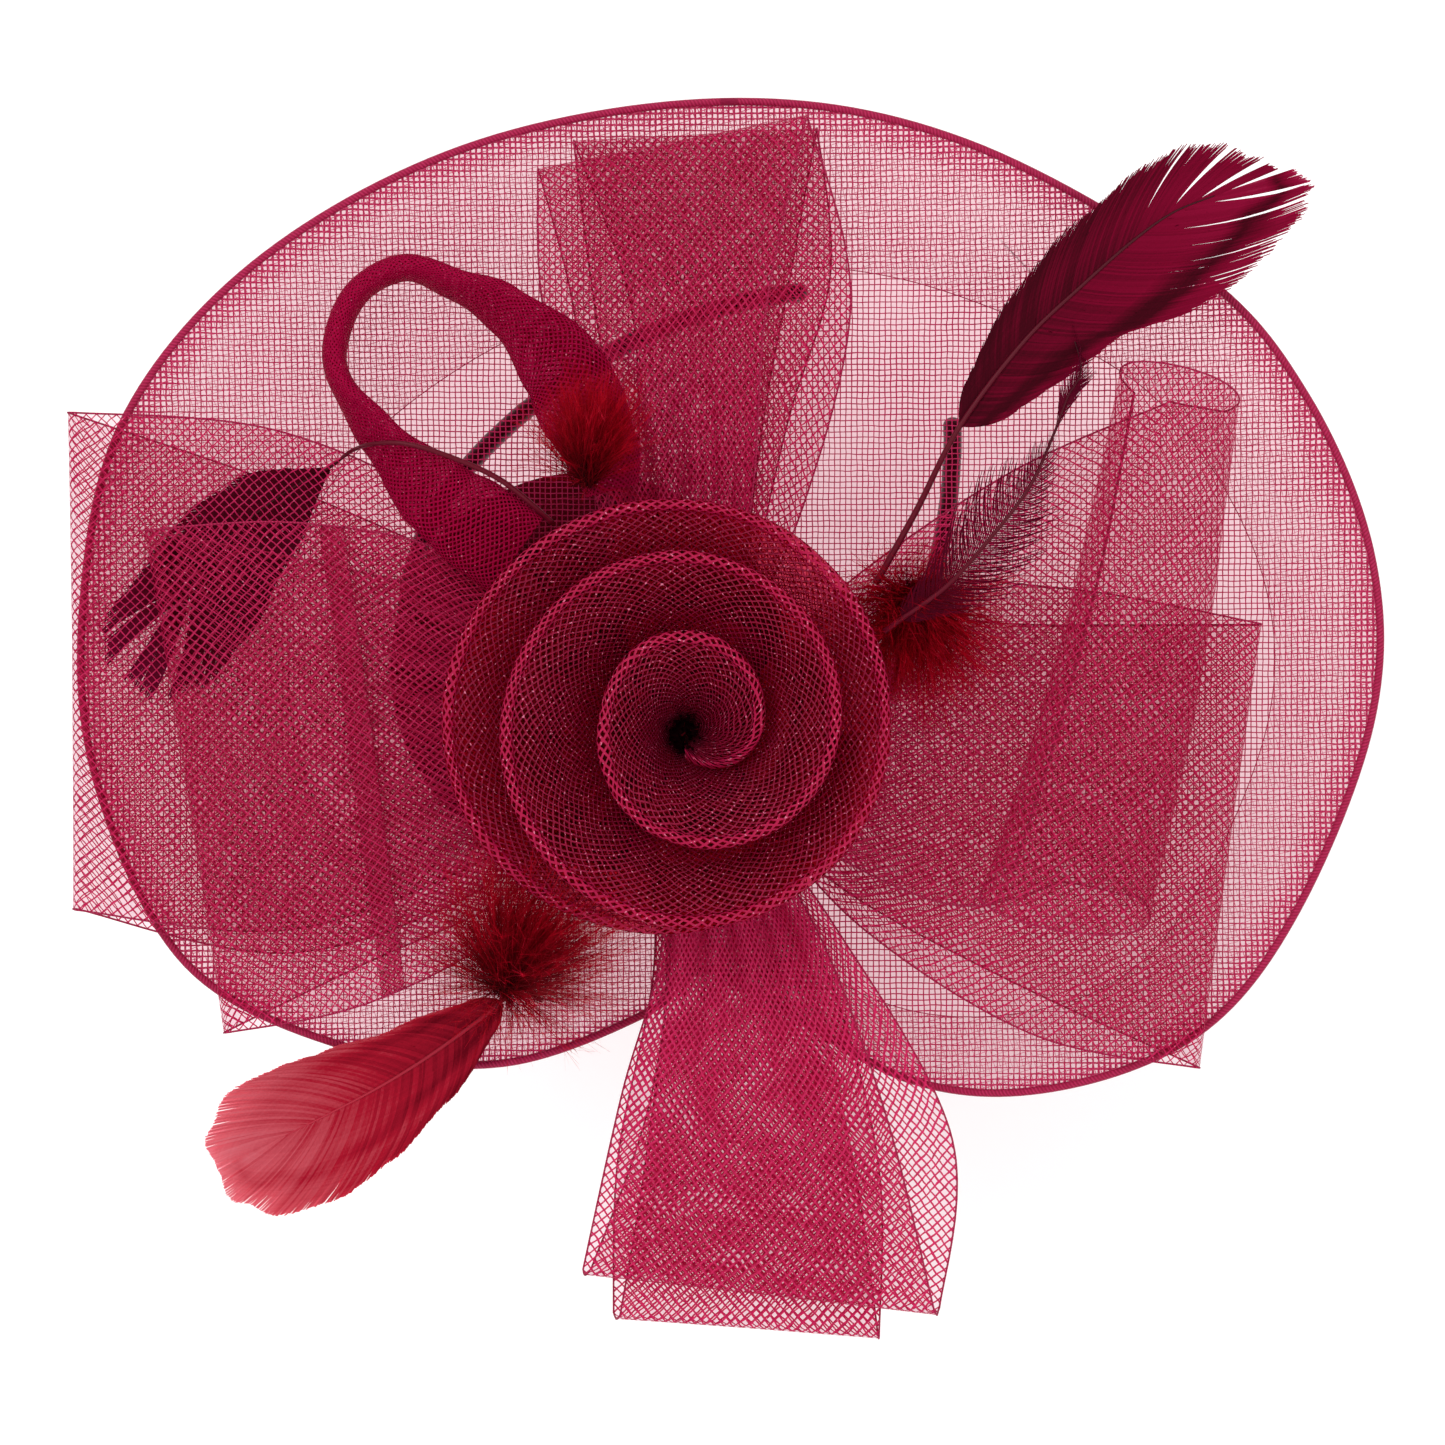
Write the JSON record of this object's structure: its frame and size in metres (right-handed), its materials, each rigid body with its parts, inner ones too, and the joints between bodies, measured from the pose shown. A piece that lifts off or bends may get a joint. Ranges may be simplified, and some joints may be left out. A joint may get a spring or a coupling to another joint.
{
  "type": "fascinator headpiece",
  "caption": "Crinoline net fascinator: dished brim with net ribbon loops, a wound net rose, down and feathers, on a felt pad with a folding headband and a sprung clip.",
  "frame": {"origin": "on the underside of the felt pad, where it rests on the head, behind the rose", "axes": "+Z out of the brim's open face, away from the head; +X along the brim's longest side, towards the curled ribbon; +Y away from the hanging tail"},
  "size_m": [0.3253, 0.3087, 0.0742],
  "materials": {
    "felt": "soft felt",
    "buckram": "stiffened fabric",
    "thread": "sewing thread",
    "brim_net": "fine square crinoline net",
    "fold_net": "fine net, two layers",
    "hem_cord": "covered wire cord",
    "ribbon_net": "coarse diagonal crinoline net",
    "tube_net": "tubular crinoline net",
    "rose_net": "folded crinoline net",
    "down": "marabou down",
    "feather": "dyed goose feather",
    "feather_pale": "dyed goose feather, paler tip",
    "quill": "dyed feather shaft",
    "satin": "satin ribbon",
    "band_core": "moulded",
    "clip_steel": "bright sheet steel"
  },
  "bodies": {
    "root": {"felt_pad": "felt", "base_disc": "buckram", "hand_stitches": "thread", "brim_mesh": "brim_net", "brim_fold_band": "fold_net", "brim_edge_cord": "hem_cord", "gather_knot": "ribbon_net", "ribbon_loop_left_rear": "ribbon_net", "ribbon_loop_left_front": "ribbon_net", "ribbon_loop_right": "ribbon_net", "ribbon_curl_right": "ribbon_net", "ribbon_loop_top_rear": "ribbon_net", "ribbon_loop_top_front": "ribbon_net", "ribbon_tail_rear": "ribbon_net", "ribbon_tail_front": "ribbon_net", "crin_tube_loop": "tube_net", "rose_heart": "rose_net", "rose_spiral": "rose_net", "rose_outer_ring": "rose_net", "down_puff_top": "down", "down_puff_right": "down", "down_puff_lower": "down", "feather_right_vane": "feather", "feather_right_quill": "quill", "feather_left_vane": "feather", "feather_left_quill": "quill", "feather_lower_vane": "feather_pale", "feather_lower_quill": "quill", "feather_curl_blade": "feather", "feather_curl_quill": "quill", "band_keeper": "satin", "clip_base": "clip_steel", "clip_pin": "clip_steel", "clip_spring": "clip_steel"},
    "headband": {"headband_core": "band_core", "headband_cover": "satin", "headband_tips": "satin"},
    "clip_lever": {"clip_lever": "clip_steel"}
  },
  "joints": [
    {"name": "headband_fold", "type": "hinge", "parent": "root", "child": "headband", "pos_m": [-0.03962, -0.01673, -0.008], "axis": [-0.7558, 0.6548, 0], "range_deg": [0, 90]},
    {"name": "clip_open", "type": "hinge", "parent": "root", "child": "clip_lever", "pos_m": [-0.03127, 0.00028, -0.0034], "axis": [0.6561, 0.7547, 0], "range_deg": [0, 30], "stiffness_Nm_per_rad": 0.05, "springref_deg": -28.65}
  ]
}
